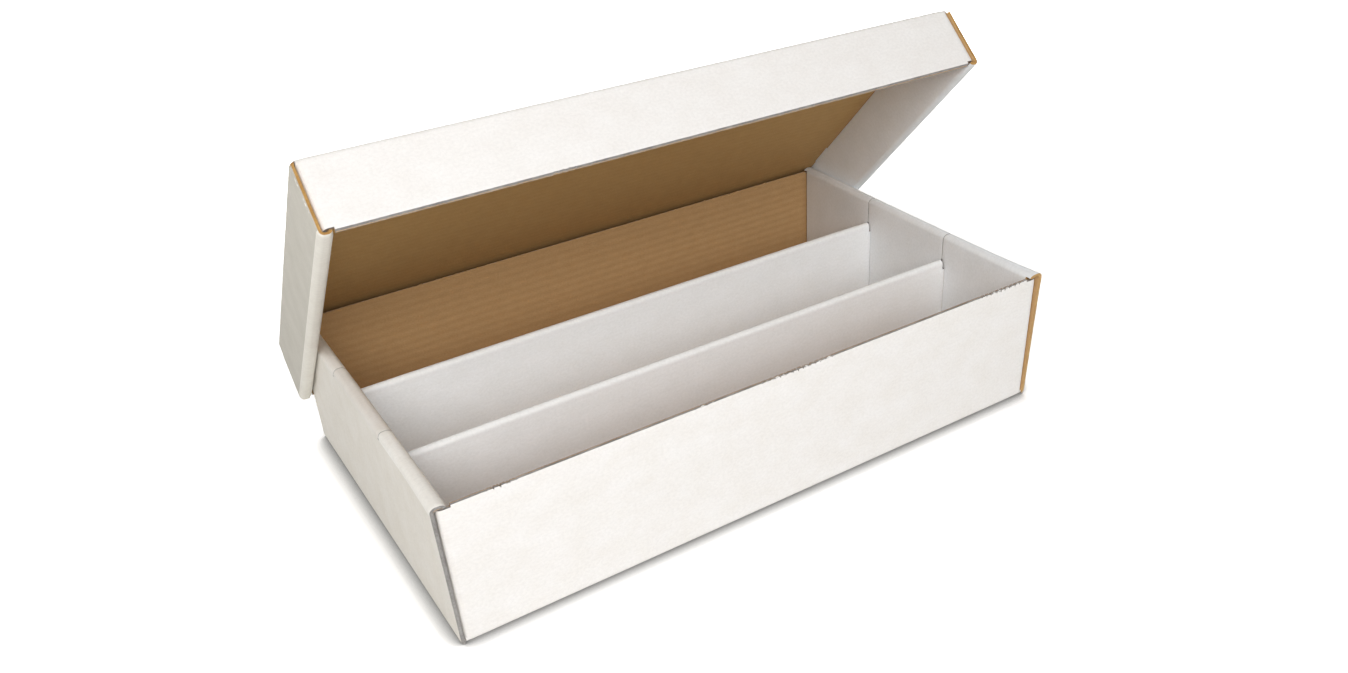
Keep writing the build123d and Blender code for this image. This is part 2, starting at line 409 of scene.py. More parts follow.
# %% One paper: a closed sheet of a given thickness
def paper_layer_tree():
    """Group: lift a surface by Low along outward, give it Thickness, and close it all round."""
    inputs = {"Surface": "Geometry", "Low": "Float", "Thickness": "Float", "Finish": "Material",
              "Cut shows": "Bool"}
    tree, given, result = recipe("paper_layer", inputs, "Paper")
    outward = stored(tree, "outward", "FLOAT_VECTOR")
    lifted = moved(tree, given["Surface"], scaled(tree, outward, given["Low"]))
    faced = finished_with(tree, lifted, given["Finish"])
    grown = add_node(tree, "GeometryNodeExtrudeMesh",
                     {"Mesh": faced, "Offset Scale": 0.0, "Individual": False}, mode="FACES")
    shows = add_node(tree, "FunctionNodeBooleanMath",
                     {0: grown.outputs["Side"], 1: given["Cut shows"]}, operation="AND")
    mark = {"Geometry": grown.outputs["Mesh"], "Name": "cut_side", "Value": shows.outputs[0]}
    edged = add_node(tree, "GeometryNodeStoreNamedAttribute", mark, data_type="BOOLEAN",
                     domain="FACE")
    thick = scaled(tree, outward, given["Thickness"])
    raised = moved(tree, edged.outputs[0], thick, grown.outputs["Top"])
    under = add_node(tree, "GeometryNodeFlipFaces", {"Mesh": faced}).outputs[0]
    closed = joined(tree, [raised, under])
    welded = add_node(tree, "GeometryNodeMergeByDistance", {"Geometry": closed, "Distance": 1e-7})
    put(tree, result, welded.outputs[0])
    return tree


paper_layer = paper_layer_tree()
print("a paper's sockets:", [item.name for item in paper_layer.interface.items_tree])


# %% The board: liner, flutes, liner and crushed edge
def board_tree():
    """Tree for a modifier: turns a panel's middle surface into corrugated board."""
    sizes = ["Board", "Liner", "Flute paper", "Pitch", "Ribbing", "Crush", "Fray"]
    finishes = ["Outside", "Inside", "Fluting", "Cut edge"]
    inputs = {"Surface": "Geometry", **dict.fromkeys(sizes, "Float"), "Seed": "Int",
              **dict.fromkeys(finishes, "Material")}
    tree, given, result = recipe("corrugated_board", inputs, "Board made")

    def calc(operation, *terms):
        return maths(tree, operation, *terms)

    blank, inward = stored(tree, "blank", "FLOAT_VECTOR"), stored(tree, "inward", "FLOAT_VECTOR")
    cut, filled = stored(tree, "cut", "FLOAT"), stored(tree, "filled", "FLOAT")
    across = add_node(tree, "ShaderNodeSeparateXYZ", {"Vector": blank}).outputs["Y"]
    wave = calc("SINE", calc("MULTIPLY", calc("DIVIDE", across, given["Pitch"]), 2 * math.pi))

    # the die frays each cut a little, always inwards
    inputs = {"Vector": blank, "W": given["Seed"], "Scale": 420.0, "Detail": 2.0}
    ragged = add_node(tree, "ShaderNodeTexNoise", inputs, noise_dimensions="4D").outputs["Fac"]
    fray = calc("MULTIPLY", calc("MULTIPLY", ragged, given["Fray"]), cut)
    surface = moved(tree, given["Surface"], scaled(tree, inward, fray))

    # heights of the papers over the middle of the board; a hair keeps them from touching
    hair = 0.02 * MM
    squeeze = calc("SUBTRACT", 1.0, calc("MULTIPLY", given["Crush"], cut))
    half_board = calc("MULTIPLY", calc("MULTIPLY", given["Board"], 0.5), squeeze)
    core = calc("SUBTRACT", half_board, given["Liner"])
    dip = calc("MULTIPLY", given["Ribbing"], 0.5)
    out_low = calc("SUBTRACT", core, calc("MULTIPLY", dip, calc("SUBTRACT", 1.0, wave)))
    in_dip = calc("MULTIPLY", dip, calc("ADD", 1.0, wave))
    in_low = calc("ADD", calc("MULTIPLY", half_board, -1.0), in_dip)
    half_flute = calc("MULTIPLY", given["Flute paper"], 0.5)
    swing = calc("SUBTRACT", core, calc("ADD", half_flute, hair))
    flute_low = calc("SUBTRACT", calc("MULTIPLY", swing, wave), half_flute)
    fill_half = calc("SUBTRACT", core, calc("ADD", given["Ribbing"], hair))

    # the cells of a crushed edge hold the filling, every other cell holds the wave
    parted = add_node(tree, "GeometryNodeSeparateGeometry",
                      {"Geometry": surface, "Selection": calc("GREATER_THAN", filled, 0.5)},
                      domain="FACE").outputs
    pushed = calc("MULTIPLY", cut, calc("MULTIPLY", ragged, 0.6 * MM))
    filling = moved(tree, parted["Selection"], scaled(tree, inward, pushed))
    fill_low, fill_high = calc("MULTIPLY", fill_half, -1.0), calc("MULTIPLY", fill_half, 2.0)
    papers = []
    for part, low, thickness, finish, cut_shows in (
            (surface, out_low, given["Liner"], "Outside", True),
            (surface, in_low, given["Liner"], "Inside", True),
            (parted["Inverted"], flute_low, given["Flute paper"], "Fluting", False),
            (filling, fill_low, fill_high, "Fluting", True)):
        inputs = {"Surface": part, "Low": low, "Thickness": thickness, "Finish": given[finish],
                  "Cut shows": cut_shows}
        paper = add_node(tree, "GeometryNodeGroup", inputs, node_tree=paper_layer)
        papers.append(paper.outputs[0])
    real = realized(tree, joined(tree, papers))
    cut_side = stored(tree, "cut_side", "BOOLEAN")
    put(tree, result, finished_with(tree, real, given["Cut edge"], cut_side))
    return tree


corrugated_board = board_tree()
print("sizes of the board:", [item.name for item in corrugated_board.interface.items_tree][1:8])

# %% [markdown]
# ## Folding a line
# Seen from its end, a panel is a line of board with bends in it. The line is given by the corners
# of the outer skin, as a ruler would find them on the box, and the board lies to its left. This
# helper walks the line, rounds each corner as a crease does, and returns stations along the
# middle of the board. Each station knows its distance from the start, its place, which way is
# outside, and whether it sits in a crease.

# %% Walk along a creased line
board = 3.2                       # millimetres, like every size until a mesh is made
crease_radius = 4.0               # of the outer skin
crease_strip = 5.0                # flat reach of a crease before the next panel starts
quarter_turn = math.pi / 2


def creased_line(corners, radius=crease_radius, step=40.0):
    """Stations (distance, a, b, out_a, out_b, crease) along the middle of a folded strip."""
    stations = []

    def straight(begin, end, walked):
        length = (end - begin).length
        if length < 1e-6:
            return walked
        way = (end - begin).normalized()
        left = Vector((-way.y, way.x))
        count = max(1, math.ceil(length / step - 1e-6))
        for place in range(count + 1):
            here = begin.lerp(end, place / count) + left * (board / 2)
            distance = walked + length * place / count
            stations.append((distance, here.x, here.y, -left.x, -left.y, 0.0))
        return walked + length

    spots = [Vector(corner) for corner in corners]
    at, walked = spots[0], 0.0
    for before, corner, after in zip(spots, spots[1:], spots[2:]):
        way_in, way_out = (corner - before).normalized(), (after - corner).normalized()
        walked = straight(at, corner - way_in * radius, walked)
        centre = corner - way_in * radius + Vector((-way_in.y, way_in.x)) * radius
        first, last = Vector((way_in.y, -way_in.x)), Vector((way_out.y, -way_out.x))
        middle = radius - board / 2
        bend = max(4, math.ceil(quarter_turn * radius))
        for place in range(1, bend):
            out = first.slerp(last, place / bend)
            here = centre + out * middle
            distance = walked + quarter_turn * middle * place / bend
            stations.append((distance, here.x, here.y, out.x, out.y, 1.0))
        walked += quarter_turn * middle
        at = corner + way_out * radius
    straight(at, spots[-1], walked)
    kept = [stations[0]]
    for station in stations[1:]:
        if station[0] - kept[-1][0] > 1e-4:
            kept.append(station)
    return kept


print("stations over one rim:", len(creased_line([(0, -30), (0, 0), (-9.6, 0), (-9.6, -30)])))


# %% Stations where they are wanted
flute_step = flute_pitch / MM / 8


def split_at(stations, places):
    """Add stations by straight interpolation, so that a cut can fall exactly where it should."""
    stations = list(stations)
    for place in places:
        for index, (low, high) in enumerate(zip(stations, stations[1:])):
            if low[0] + 0.02 < place < high[0] - 0.02:
                part = (place - low[0]) / (high[0] - low[0])
                between = tuple(x + (y - x) * part for x, y in zip(low, high))
                stations.insert(index + 1, between)
                break
    return stations


def spaced(begin, end, step, extra=()):
    """Evenly spaced numbers from begin to end; the extra ones crowd out their neighbours."""
    fixed = [begin, end] + [number for number in extra if begin < number < end]
    count = max(1, math.ceil((end - begin) / step - 1e-6))
    even = [begin + (end - begin) * place / count for place in range(1, count)]
    clear = step * 0.45
    even = [number for number in even if min(abs(number - other) for other in fixed) > clear]
    return sorted(set(round(number, 5) for number in fixed + even))


def unfolded(places):
    """Stations of a strip without creases, where only the place counts."""
    return [(place, place, 0, 0, 0, 0.0) for place in places]


def at(value, *marks):
    """Whether a place lies on one of the marks, left or right of the middle."""
    return any(abs(abs(value) - mark) < 0.01 for mark in marks)


print("eight stations over one flute, each", round(flute_step, 2), "mm")

# %% [markdown]
# ## From stations to a surface
# A panel is a net: rows of stations one way, columns the other. A cell of the net is left out
# where the sheet is cut away, for a slit, a notch or a lock tab. What is left has two kinds of
# border: cuts, and joins where the sheet simply runs on into the next panel. Only the cuts are
# frayed and crushed. The net is fine across the flutes, where the wave needs it, and coarse
# along them.

# %% Cells of a net
def net_of(rows, cols, keep, locate, coarse, fine_rows):
    """Points, ways outwards, places on the flat sheet, creases, and the cells that are there."""
    points, ways, blanks, creases, number = [], [], [], [], {}

    def corner(r, c):
        if (r, c) not in number:
            number[r, c] = len(points)
            point, out, flat = locate(rows[r], cols[c])
            points.append(Vector(point))
            ways.append(Vector(out))
            blanks.append(Vector((flat[0], flat[1], 0.0)))
            creases.append(max(rows[r][5], cols[c][5]))
        return number[r, c]

    cells = []
    every = list(range(len(cols)))
    for r in range(len(rows) - 1):
        used = every if coarse is None or r < fine_rows else coarse
        for c, d in zip(used, used[1:]):
            row = [(x + y) / 2 for x, y in zip(rows[r], rows[r + 1])]
            col = [(x + y) / 2 for x, y in zip(cols[c], cols[d])]
            if keep(row, col):
                near = every[c:d + 1] if r == fine_rows else [c, d]
                top = [corner(r, place) for place in near]
                cells.append(top + [corner(r + 1, d), corner(r + 1, c)])
    first = next(cell for cell in cells if len(cell) == 4)
    normal = (points[first[1]] - points[first[0]]).cross(points[first[3]] - points[first[0]])
    if normal.dot(ways[first[0]]) < 0:
        cells = [cell[::-1] for cell in cells]
    return points, ways, blanks, creases, cells


# %% Cuts of a net
edge_reach = 2.4                  # how far the die's squeeze reaches in from a cut
fill_reach = 1.3                  # width of the crushed paper along a cut


def cuts_of(points, blanks, cells, joins):
    """How near each point is to a cut, which way is inwards, and which cells are crushed."""
    uses = Counter(frozenset(pair) for cell in cells for pair in zip(cell, cell[1:] + cell[:1]))
    linked, borders = {}, []
    for pair, count in uses.items():
        one, two = tuple(pair)
        middle = (blanks[one] + blanks[two]) / 2
        if count > 1:
            linked.setdefault(one, []).append(two)
            linked.setdefault(two, []).append(one)
        elif not joins(middle.x, middle.y):
            borders.append((one, two))
    on_cut = {point for pair in borders for point in pair}
    nearest = kdtree.KDTree(max(1, 3 * len(borders)))
    for place, (one, two) in enumerate(borders):
        for part in range(3):
            nearest.insert(blanks[one].lerp(blanks[two], part / 2), 3 * place + part)
    nearest.balance()

    cuts, inwards = [], []
    for point, flat in enumerate(blanks):
        distance = nearest.find(flat)[2] if borders else math.inf
        share = max(0.0, 1.0 - distance / edge_reach)
        cuts.append(share * share * (3 - 2 * share))
        pull = Vector()
        for other in linked.get(point, []) if point in on_cut else []:
            if other not in on_cut or len(linked[point]) == 1:
                pull += points[other] - points[point]
        inwards.append(pull.normalized() if pull.length > 1e-9 else pull)

    # only a cut along the flutes is filled: its spans are listed by their height on the sheet
    levels = {}
    for one, two in borders:
        if abs(blanks[one].y - blanks[two].y) < 1e-4:
            level = round(((blanks[one] + blanks[two]) / 2).y, 3)
            levels.setdefault(level, []).append(sorted((blanks[one].x, blanks[two].x)))
    filled = []
    for cell in cells:
        flat = sum((blanks[point] for point in cell), Vector()) / len(cell)
        spans = [span for level, spans_there in levels.items()
                 if abs(flat.y - level) < fill_reach for span in spans_there]
        filled.append(float(any(low <= flat.x <= high for low, high in spans)))
    return cuts, inwards, filled


print("crushed strip:", fill_reach, "mm wide")


# %% Build the middle surface of a panel
def panel_surface(name, rows, cols, keep, locate, joins=lambda u, w: False, coarse=None,
                  fine_rows=0):
    """keep(row, col) says whether a cell is there, by the stations at its middle.
    locate(row, col) gives a point, its way outwards and its place (u, w) on the flat sheet.
    joins(u, w) says whether the sheet runs on there into the next panel.
    Where coarse lists some of the columns, only the first fine_rows rows use them all."""
    points, ways, blanks, creases, cells = net_of(rows, cols, keep, locate, coarse, fine_rows)
    cuts, inwards, filled = cuts_of(points, blanks, cells, joins)
    mesh = bpy.data.meshes.new(name)
    mesh.from_pydata([point * MM for point in points], [], cells)
    blanks = [blank * MM for blank in blanks]
    for label, values in (("outward", ways), ("blank", blanks), ("inward", inwards)):
        layer = mesh.attributes.new(label, "FLOAT_VECTOR", "POINT")
        layer.data.foreach_set("vector", [part for vector in values for part in vector])
    for label, place, values in (("cut", "POINT", cuts), ("crease", "POINT", creases),
                                 ("filled", "FACE", filled)):
        mesh.attributes.new(label, "FLOAT", place).data.foreach_set("value", values)
    return mesh


print("ready to lay out panels")

# %% [markdown]
# ## From surface to board, and from board to a finished piece
# The modifier is given its sizes by the identifiers of its inputs before the object is first
# evaluated. Then its result is taken as a plain mesh, so that no modifier is left to run.

# %% Run a recipe
def run_recipe(name, mesh, tree, sizes):
    """An object with the plain mesh that a recipe makes of the given one."""
    piece = bpy.data.objects.new(name, mesh)
    bpy.context.scene.collection.objects.link(piece)
    modifier = piece.modifiers.new("recipe", "NODES")
    modifier.node_group = tree
    for item in tree.interface.items_tree:
        if item.in_out == "INPUT" and item.name in sizes:
            modifier[item.identifier] = sizes[item.name]
    graph = bpy.context.evaluated_depsgraph_get()
    plain = bpy.data.meshes.new_from_object(piece.evaluated_get(graph), depsgraph=graph)
    piece.modifiers.clear()
    piece.data = plain
    plain.name = name
    for label in ("outward", "inward", "cut", "filled", "cut_side", "turn"):
        if label in plain.attributes:
            plain.attributes.remove(plain.attributes[label])
    return piece


# %% Press a panel into board
finished = {}
board_sizes = {"Board": board * MM, "Liner": 0.38 * MM, "Flute paper": 0.26 * MM,
               "Pitch": flute_pitch, "Fray": 0.35 * MM, "Fluting": fluting_paper}
first_seed = 12                   # of the fraying; each panel after the first takes the next one


def press_board(node, mesh, body, outside, inside, edge, ribbing=0.04,
                crush=0.16):
    """Turn a middle surface into a finished piece that stands for one node of the frame."""
    sizes = {**board_sizes, "Ribbing": ribbing * MM, "Crush": crush, "Outside": outside,
             "Inside": inside, "Cut edge": edge, "Seed": first_seed + len(finished)}
    panel = run_recipe(f"{node}_board", mesh, corrugated_board, sizes)
    panel.data.shade_smooth()
    panel.data.set_sharp_from_angle(angle=math.radians(38))
    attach(panel, body)
    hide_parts(node)
    finished[node] = len(panel.data.polygons)


print("ready to press board")

# %% [markdown]
# ## Two trays from one pattern
# The tray and the lid are cut to the same pattern in two sizes. The lid is the tray turned over,
# half as deep, and larger by a little play and its own plies: one board at the front and back,
# three at the ends. A small record holds the sizes of each, and a
# function puts a point of the pattern in its place in the room: for the tray that is as drawn,
# and for the lid it is turned by its lean of 47 degrees behind the tray. The lid's top passes a
# hair behind the tray's top back corner, and its back lip stands a hair behind the back wall.
# The tray's rolled ends spring outwards, most at their top front corners, and there the loose
# outer ply more than the rest.

# %% Sizes and places of the two trays
spring = {"right": 4.2, "left": 2.8}          # of a whole end, at its top front corner
loose_spring = {"right": 3.0, "left": 1.0}    # of its outer ply besides
spring_at_back = 0.12                         # share of the spring that is left at the back
loose_reach = 60.0                            # how far back the outer ply is loose
rim = 3 * board                               # outer ply, tab and inner ply side by side


class Tray:
    """One folded tray in millimetres. Its long walls stop a drop below its rims, and its corner
    tabs reach this far along the ends."""

    def __init__(self, prefix, size, drop, reach, dividers):
        self.prefix, self.body = prefix, prefix
        self.length, self.width, self.height = size
        self.drop, self.reach, self.dividers = drop, reach, dividers

    def place(self, point, out, loose=0.0):
        """A point and a way outwards of the pattern, put where the real ones are."""
        return self.splayed(point, loose), out

    def splayed(self, point, loose):
        x, y, z = point
        plies = rim + 0.2 * board
        outer = (abs(x) - (self.length / 2 - plies)) / plies
        if outer <= 0:
            return point
        side, height = "right" if x > 0 else "left", z / self.height
        front = min(1.0, max(0.0, 0.5 - y / self.width))
        near_cut = max(0.0, 1.0 - (y + self.width / 2) / loose_reach)
        share = spring_at_back + (1 - spring_at_back) * front ** 2
        amount = spring[side] * height * share * min(1.0, 2.5 * outer)
        amount += loose * loose_spring[side] * height * near_cut ** 2
        return (x + math.copysign(amount, x), y, z)


class Lid(Tray):
    """The same pattern turned over and leaning on the tray's back edge."""

    def lean_on(self, under, degrees, gap=0.3):
        self.sine, self.cosine = math.sin(math.radians(degrees)), math.cos(math.radians(degrees))
        lip = self.height - self.drop - board
        slid = (gap + (lip - gap) * self.sine) / self.cosine - (self.width / 2 - board)
        above = gap + board
        self.y = under.width / 2 + self.cosine * slid + self.sine * above
        self.z = under.height - self.sine * slid + self.cosine * above

    def place(self, point, out, loose=0.0):
        def turned(x, y, z):
            return -x, self.cosine * y - self.sine * z, -self.sine * y - self.cosine * z
        x, y, z = turned(*point)
        return (x, self.y + y, self.z + z), turned(*out)


tray_length, tray_width, tray_height, lid_height = 495.0, 290.0, 110.0, 53.0
lid_play = 1.0                                # air between the tray and the closed lid, each side
divider_thickness = 2 * board + 0.4
row_pitch = (tray_width - 2 * board - 2 * divider_thickness) / 3 + divider_thickness
tray = Tray("base", (tray_length, tray_width, tray_height), drop=2.5, reach=58.0,
            dividers=[-row_pitch / 2, row_pitch / 2])
lid_size = (tray_length + 2 * (rim + lid_play), tray_width + 2 * (board + lid_play), lid_height)
lid = Lid("lid", lid_size, drop=2.0, reach=52.0, dividers=[])
lid.lean_on(tray, 47.0)
for part in (tray, lid):
    print(part.prefix, part.length, "x", part.width, "x", part.height, "mm")

# %% [markdown]
# ## The middle panel
# The tray's floor and the lid's top are the sheet's flat middle. Its brown side is inside. Each
# short edge has a notch for every lock tab that comes down from the ends.

# %% Middle panels
lock_width, lock_play = 26.0, 0.4


def lock_lines(size):
    """Where the lock tabs stand: one below each flap, or two below a long one."""
    if not size.dividers:
        return [[-size.width / 4, size.width / 4]]
    seams = [-size.width / 2] + size.dividers + [size.width / 2]
    return [[(near + far) / 2] for near, far in zip(seams, seams[1:])]


def middle_panel(size, node, outside, inside, edge):
    half_length, half_width = size.length / 2 - crease_strip, size.width / 2 - crease_strip
    notch_end = half_length - (rim + lock_play - crease_strip)
    locks = [line for group in lock_lines(size) for line in group]
    notch_half = lock_width / 2 + lock_play
    ys = spaced(-half_width, half_width, flute_step,
                [line + side * notch_half for line in locks for side in (-1, 1)])
    crushed_end = notch_end - 1.2
    xs = spaced(-half_length, half_length, 48.0, (-notch_end, notch_end, -crushed_end, crushed_end))

    def keep(row, col):
        return abs(col[0]) <= notch_end or all(abs(row[0] - line) >= notch_half for line in locks)

    def locate(row, col):
        point, out = size.place((col[0], row[0], board / 2), (0, 0, -1))
        return point, out, (col[0], row[0])

    mesh = panel_surface(node, unfolded(ys), unfolded(xs), keep, locate,
                         lambda u, w: at(u, half_length) or at(w, half_width))
    press_board(node, mesh, size.body, outside, inside, edge)


middle_panel(tray, "base_floor", white_paper, kraft_paper, grey_edge)
middle_panel(lid, "lid_top", lid_white_paper, lid_kraft_paper, tan_edge)
print("faces:", finished)

# %% [markdown]
# ## The long walls
# Front and back fold up from the middle panel along one crease and turn a corner at both ends,
# where the corner tabs begin. The flutes run along the wall, so its top edge shows no wave, only
# a thin grey line. Opening and closing have torn small bites out of it. A die leans a little in
# thick board, so some of these cuts slope, which the bevel does by tilting the way outwards.

# %% Bites in a top edge
bite_depth = 3.0                  # how far down the wall a bite still pulls the paper


def bites(u, clusters):
    """Depth of the torn bites at a place along a top edge, in millimetres."""
    depth = 0.0
    for middle, spread, deepest in clusters:
        near = max(0.0, 1.0 - abs(u - middle) / spread)
        if near > 0:
            ragged = math.sin(u * 2.1 + 3) * math.sin(u * 0.83 + 6) + 0.35 * math.sin(u * 5.3 + 3)
            depth = max(depth, deepest * near ** 0.5 * max(0.0, ragged))
    return depth


def bite_places(run, clusters, wide=1.9, narrow=0.45):
    """Places along an edge of this run where stations are wanted, closer where it is torn."""
    places = [place * wide for place in range(4, int(run / wide) - 3)]
    for middle, spread, _ in clusters:
        steps = range(int(-spread / narrow), int(spread / narrow))
        places += [middle + run / 2 + step * narrow for step in steps]
    return places


front_bites = [(-205.0, 12.0, 1.5), (18.0, 34.0, 1.6), (212.0, 24.0, 2.2), (-60.0, 8.0, 0.8)]
back_bites = [(-228.0, 14.0, 1.2), (-150.0, 10.0, 0.8), (40.0, 9.0, 0.7), (150.0, 12.0, 0.9)]
print("deepest bite in front:", max(deepest for _, _, deepest in front_bites), "mm")


# %% Long walls
bevel_reach = 2.5                 # how far down a sloping cut is felt


def long_wall(size, node, back, outside, edge, clusters=(), ribbing=0.04, bevel=0.0):
    face, end, top = size.width / 2, size.length / 2 - board, size.height - size.drop
    side = -1 if back else 1                      # front walls are drawn, back walls mirrored
    curl_start = size.length / 2 - crease_strip - 0.8
    curl_end = end - crease_radius + quarter_turn * (crease_radius - board / 2)
    rim_underside = size.height - crease_radius - 0.2
    under_rim = end - rim + board - 0.3

    foot = creased_line([(-face, top), (-face, 0), (-face + crease_strip, 0)], step=flute_step)
    foot = split_at(foot, [top - rim_underside, 0.45])
    tab_start = -face + crease_strip
    around = creased_line([(-end, tab_start), (-end, -face), (end, -face), (end, tab_start)],
                          step=24.0)
    half_run = around[-1][0] / 2
    marks = [half_run + way * mark for mark in (under_rim, curl_start) for way in (-1, 1)]
    around = split_at(around, marks)
    plain = {round(station[0], 4) for station in around}
    around = split_at(around, bite_places(2 * half_run, clusters))
    coarse = [place for place, station in enumerate(around) if round(station[0], 4) in plain]
    fine_rows = sum(station[0] < bite_depth for station in foot)

    def keep(row, col):
        u = abs(col[0] - half_run)
        if u > curl_start and row[2] < crease_radius:
            return u < curl_end and row[1] < bite_depth - face
        return not (u > under_rim and row[2] > rim_underside)

    def locate(row, col):
        u = col[0] - half_run
        down, y_foot, z, out_y, out_z, _ = row
        _, x, y_turn, out_x, out_turn, _ = col
        if z < crease_radius - 0.01:
            # the foot runs straight out below the curl
            x, y_turn, out_x = u, board / 2 - face, 0.0
        y = y_foot + y_turn + face - board / 2
        if abs(u) <= under_rim and down < bite_depth:
            z -= bites(u, clusters) * (1 - down / bite_depth)
        out = (out_x, out_turn, 0) if abs(out_x) > 0.01 else (0, out_y, out_z)
        tilt = bevel * max(0.0, 1 - down / bevel_reach)
        point, out = size.place((x, y * side, z), (out[0], out[1] * side, out[2] - tilt))
        return point, out, (u, -side * (face - crease_strip + foot[-1][0] - down))

    mesh = panel_surface(node, foot, around, keep, locate,
                         lambda u, w: at(u, half_run) or at(w, face - crease_strip),
                         coarse, fine_rows)
    press_board(node, mesh, size.body, outside, kraft_paper, edge, ribbing=ribbing)


long_wall(tray, "base_front_wall", False, white_paper, grey_edge, front_bites)
long_wall(tray, "base_back_wall", True, white_paper, tan_edge, back_bites, ribbing=0.09, bevel=0.45)
long_wall(lid, "lid_front_lip", False, lid_white_paper, grey_edge, [(100.0, 10.0, 0.6)], bevel=0.42)
long_wall(lid, "lid_back_lip", True, lid_white_paper, grey_edge, bevel=0.42)
print("faces:", finished)

# %% [markdown]
# ## The ends
# The outer ply of an end folds up from the middle panel. Here the flutes run upwards. Its two
# upright cuts are the tan strips that show at the right corners of the photograph. At the left
# corner the brown paper in the groove is greyed, a painted shade. The die has crushed the lid's
# left cut hardest, so its strip is the thinnest.

# %% End panels
left_lid_crush, right_lid_crush = 0.45, 0.22


def end_panel(size, node, across, outside, inside, edge, notch_top=crease_radius, crush=0.16):
    """notch_top is where the notch at the foot of each upright cut stops."""
    face, wall = size.length / 2, size.width / 2 - board
    foot = creased_line([(face - crease_strip, 0), (face, 0), (face, size.height - crease_strip)],
                        step=12.0)
    ys = spaced(-size.width / 2, size.width / 2, flute_step, (-wall, wall))

    def keep(row, col):
        return row[2] >= notch_top or abs(col[0]) <= wall

    def locate(row, col):
        up, x, z, out_x, out_z, _ = row
        point, out = size.place((across * x, col[0], z), (across * out_x, 0, out_z), loose=1.0)
        return point, out, (across * (face - crease_strip + up), col[0])

    low, high = face - crease_strip, face - crease_strip + foot[-1][0]
    mesh = panel_surface(node, foot, unfolded(ys), keep, locate, lambda u, w: at(u, low, high))
    press_board(node, mesh, size.body, outside, inside, edge, crush=crush)


# the ends' outer faces take a darker copy of the white liner: painted shade
end_panel(tray, "base_right_end", 1, tray_end_paper_painted_shade, kraft_paper, tan_edge, 1.9)
end_panel(tray, "base_left_end", -1, tray_end_paper_painted_shade, greyed_kraft_paper_painted_shade, grey_edge, 1.9)
end_panel(lid, "lid_left_end", 1, lid_end_paper_painted_shade, kraft_paper, lid_edge, crush=left_lid_crush)
end_panel(lid, "lid_right_end", -1, lid_end_paper_painted_shade, kraft_paper, lid_edge, crush=right_lid_crush)
print("faces:", finished)

# %% [markdown]
# ## The corner tabs
# A tab at each end of a long wall is held between the two plies of an end. Nothing of it shows
# when the box is whole, but it is there, tapered so that it slides in without catching.

# %% Corner tabs
taper = 7.0                       # a tab narrows this much on each side


def corner_tab(size, node, across, along):
    inner = size.length / 2 - 2 * board
    reach = size.reach - crease_strip
    low, high = crease_strip + 1, size.height - board - 1.5

    def locate(row, col):
        slope = taper * col[0] / reach
        z = low + slope + (high - low - 2 * slope) * (row[0] - low) / (high - low)
        y = along * (size.width / 2 - crease_strip - col[0])
        point, out = size.place((across * (inner + board / 2), y, z), (across, 0, 0))
        return point, out, (across * (size.length / 2 + col[0]), along * (size.width / 2 + z))

    zs, ys = spaced(low, high, flute_step), spaced(0.0, reach, 9.0, (reach - 1.2,))
    mesh = panel_surface(node, unfolded(zs), unfolded(ys), lambda row, col: True, locate,
                         lambda u, w: at(u, size.length / 2))
    press_board(node, mesh, size.body, white_paper, kraft_paper, tan_edge)


for size, sides in ((tray, {"right": 1, "left": -1}), (lid, {"left": 1, "right": -1})):
    for word, across in sides.items():
        corner_tab(size, f"{size.prefix}_front_{word}_tab", across, -1)
        corner_tab(size, f"{size.prefix}_back_{word}_tab", across, 1)
print("tabs made:", sum("_tab" in name for name in finished))

# %% [markdown]
# ## The roll-over flaps
# At the top of an end the sheet rolls over the tabs and comes down inside, white side out, and
# its lock tabs drop into the notches of the middle panel. On the tray two slits part the flap at
# the dividers. The fold over the rim is soft, because a crease across thick board never closes
# sharply.

# %% Roll-over flaps
slit_steps = [(80.6, 3.6), (88.2, 0.7)]       # height and half width: wide for the divider's tabs
over_slit = 89.3                              # a last row of stations just over the slit
lock_foot = 0.2                               # lock tabs stop this far inside the outer face


def roll_over(size, node, across, near, far, locks, paper, edge, crush=0.16):
    face, inner_face = size.length / 2, size.length / 2 - rim
    roll = creased_line([(face, size.height - crease_strip), (face, size.height),
                         (inner_face, size.height), (inner_face, lock_foot)], step=9.0)
    last = roll[-1][0]
    lock_top = last - (board - lock_foot)
    roll = split_at(roll, [lock_top, lock_top - 1.2, last - 0.9])
    if size.dividers:
        slit_tops = [height for height, _ in slit_steps] + [over_slit + lock_foot]
        roll = split_at(roll, [last - (height - lock_foot) for height in slit_tops])
    wall_side = size.width / 2 - crease_radius - 0.3
    marks = [wall_side, -wall_side]
    marks += [line + side * half for line in size.dividers for side in (-1, 1)
              for _, half in slit_steps]
    marks += [line + side * lock_width / 2 for line in locks for side in (-1, 1)]

    def keep(row, col):
        def beside(lines, half):
            return any(abs(col[0] - line) < half for line in lines)
        if row[1] >= face - board - 0.4 or row[2] >= size.height - board * 0.9:
            return True
        if abs(col[0]) > wall_side:
            return False
        if any(row[2] < height and beside(size.dividers, half) for height, half in slit_steps):
            return False
        return row[2] >= board or beside(locks, lock_width / 2)

    start = face + size.height - 12.0             # where the flap starts on the flat sheet

    def locate(row, col):
        down, x, z, out_x, out_z, _ = row
        outer_ply = min(1.0, max(0.0, (x - face + 7.0) / 5.4))
        point, out = size.place((across * x, col[0], z), (across * out_x, 0, out_z), outer_ply)
        return point, out, (across * (start + down), col[0])

    cols = unfolded(spaced(near, far, flute_step, marks))
    mesh = panel_surface(node, roll, cols, keep, locate, lambda u, w: at(u, start))
    press_board(node, mesh, size.body, paper, kraft_paper, edge, crush=crush)


